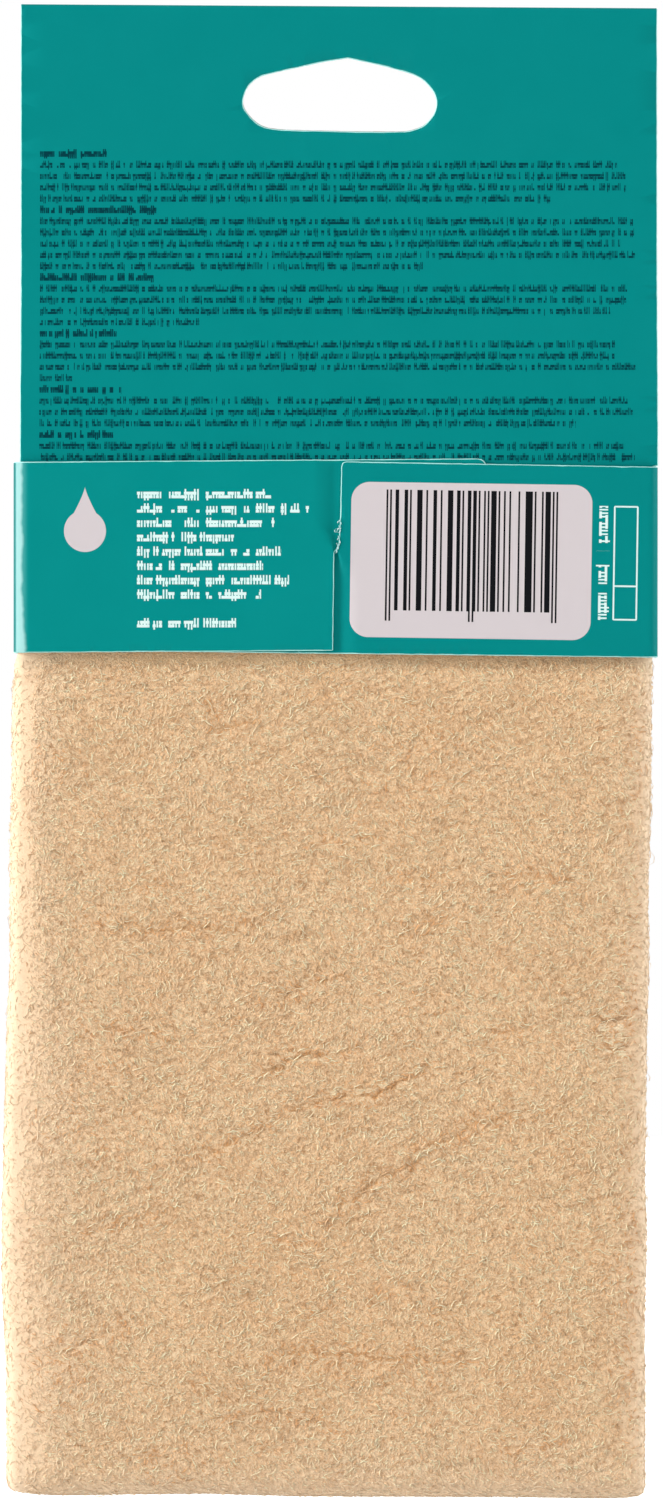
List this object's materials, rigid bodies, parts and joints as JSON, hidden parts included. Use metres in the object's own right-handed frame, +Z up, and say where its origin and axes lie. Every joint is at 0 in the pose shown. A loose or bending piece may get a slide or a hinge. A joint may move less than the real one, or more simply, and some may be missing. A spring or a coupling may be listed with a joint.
{
  "type": "chamois leather in hanging card",
  "caption": "Chamois leather folded flat and held in the sleeve of a die-cut hanging card, which wraps round it and locks with crossing tongues.",
  "frame": {"origin": "middle of the hanging slot, half way between the two layers of the header", "axes": "+Z up as the pack hangs, -Y towards the side where the wings lock, +X to the right of that side"},
  "size_m": [0.1199, 0.0112, 0.2728],
  "materials": {
    "card_board": "satin",
    "chamois": "matte"
  },
  "bodies": {
    "card": {"front_panel": "card_board", "header_back_panel": "card_board"},
    "left_side": {"left_side_wall": "card_board"},
    "left_flap": {"left_wing": "card_board", "left_tongue": "card_board"},
    "right_side": {"right_side_wall": "card_board"},
    "right_flap": {"right_wing": "card_board", "right_tongue": "card_board"},
    "chamois": {"chamois_skin": "chamois"}
  },
  "joints": [
    {"name": "left_side_crease", "type": "hinge", "parent": "card", "child": "left_side", "pos_m": [-0.05862, 0.00465, -0.085], "axis": [0, 0, -1], "range_deg": [0, 90]},
    {"name": "left_wing_crease", "type": "hinge", "parent": "left_side", "child": "left_flap", "pos_m": [-0.05663, -0.00605, -0.085], "axis": [0, 0, -1], "range_deg": [0, 90], "deforming": ["left_tongue"]},
    {"name": "right_side_crease", "type": "hinge", "parent": "card", "child": "right_side", "pos_m": [0.05752, 0.00465, -0.0859], "axis": [0, 0, 1], "range_deg": [0, 90]},
    {"name": "right_wing_crease", "type": "hinge", "parent": "right_side", "child": "right_flap", "pos_m": [0.05652, -0.00605, -0.0859], "axis": [0, 0, 1], "range_deg": [0, 90], "deforming": ["right_tongue"]},
    {"name": "chamois_slide", "type": "slide", "parent": "card", "child": "chamois", "axis": [0, 0, -1], "range_m": [0, 0.04]}
  ]
}
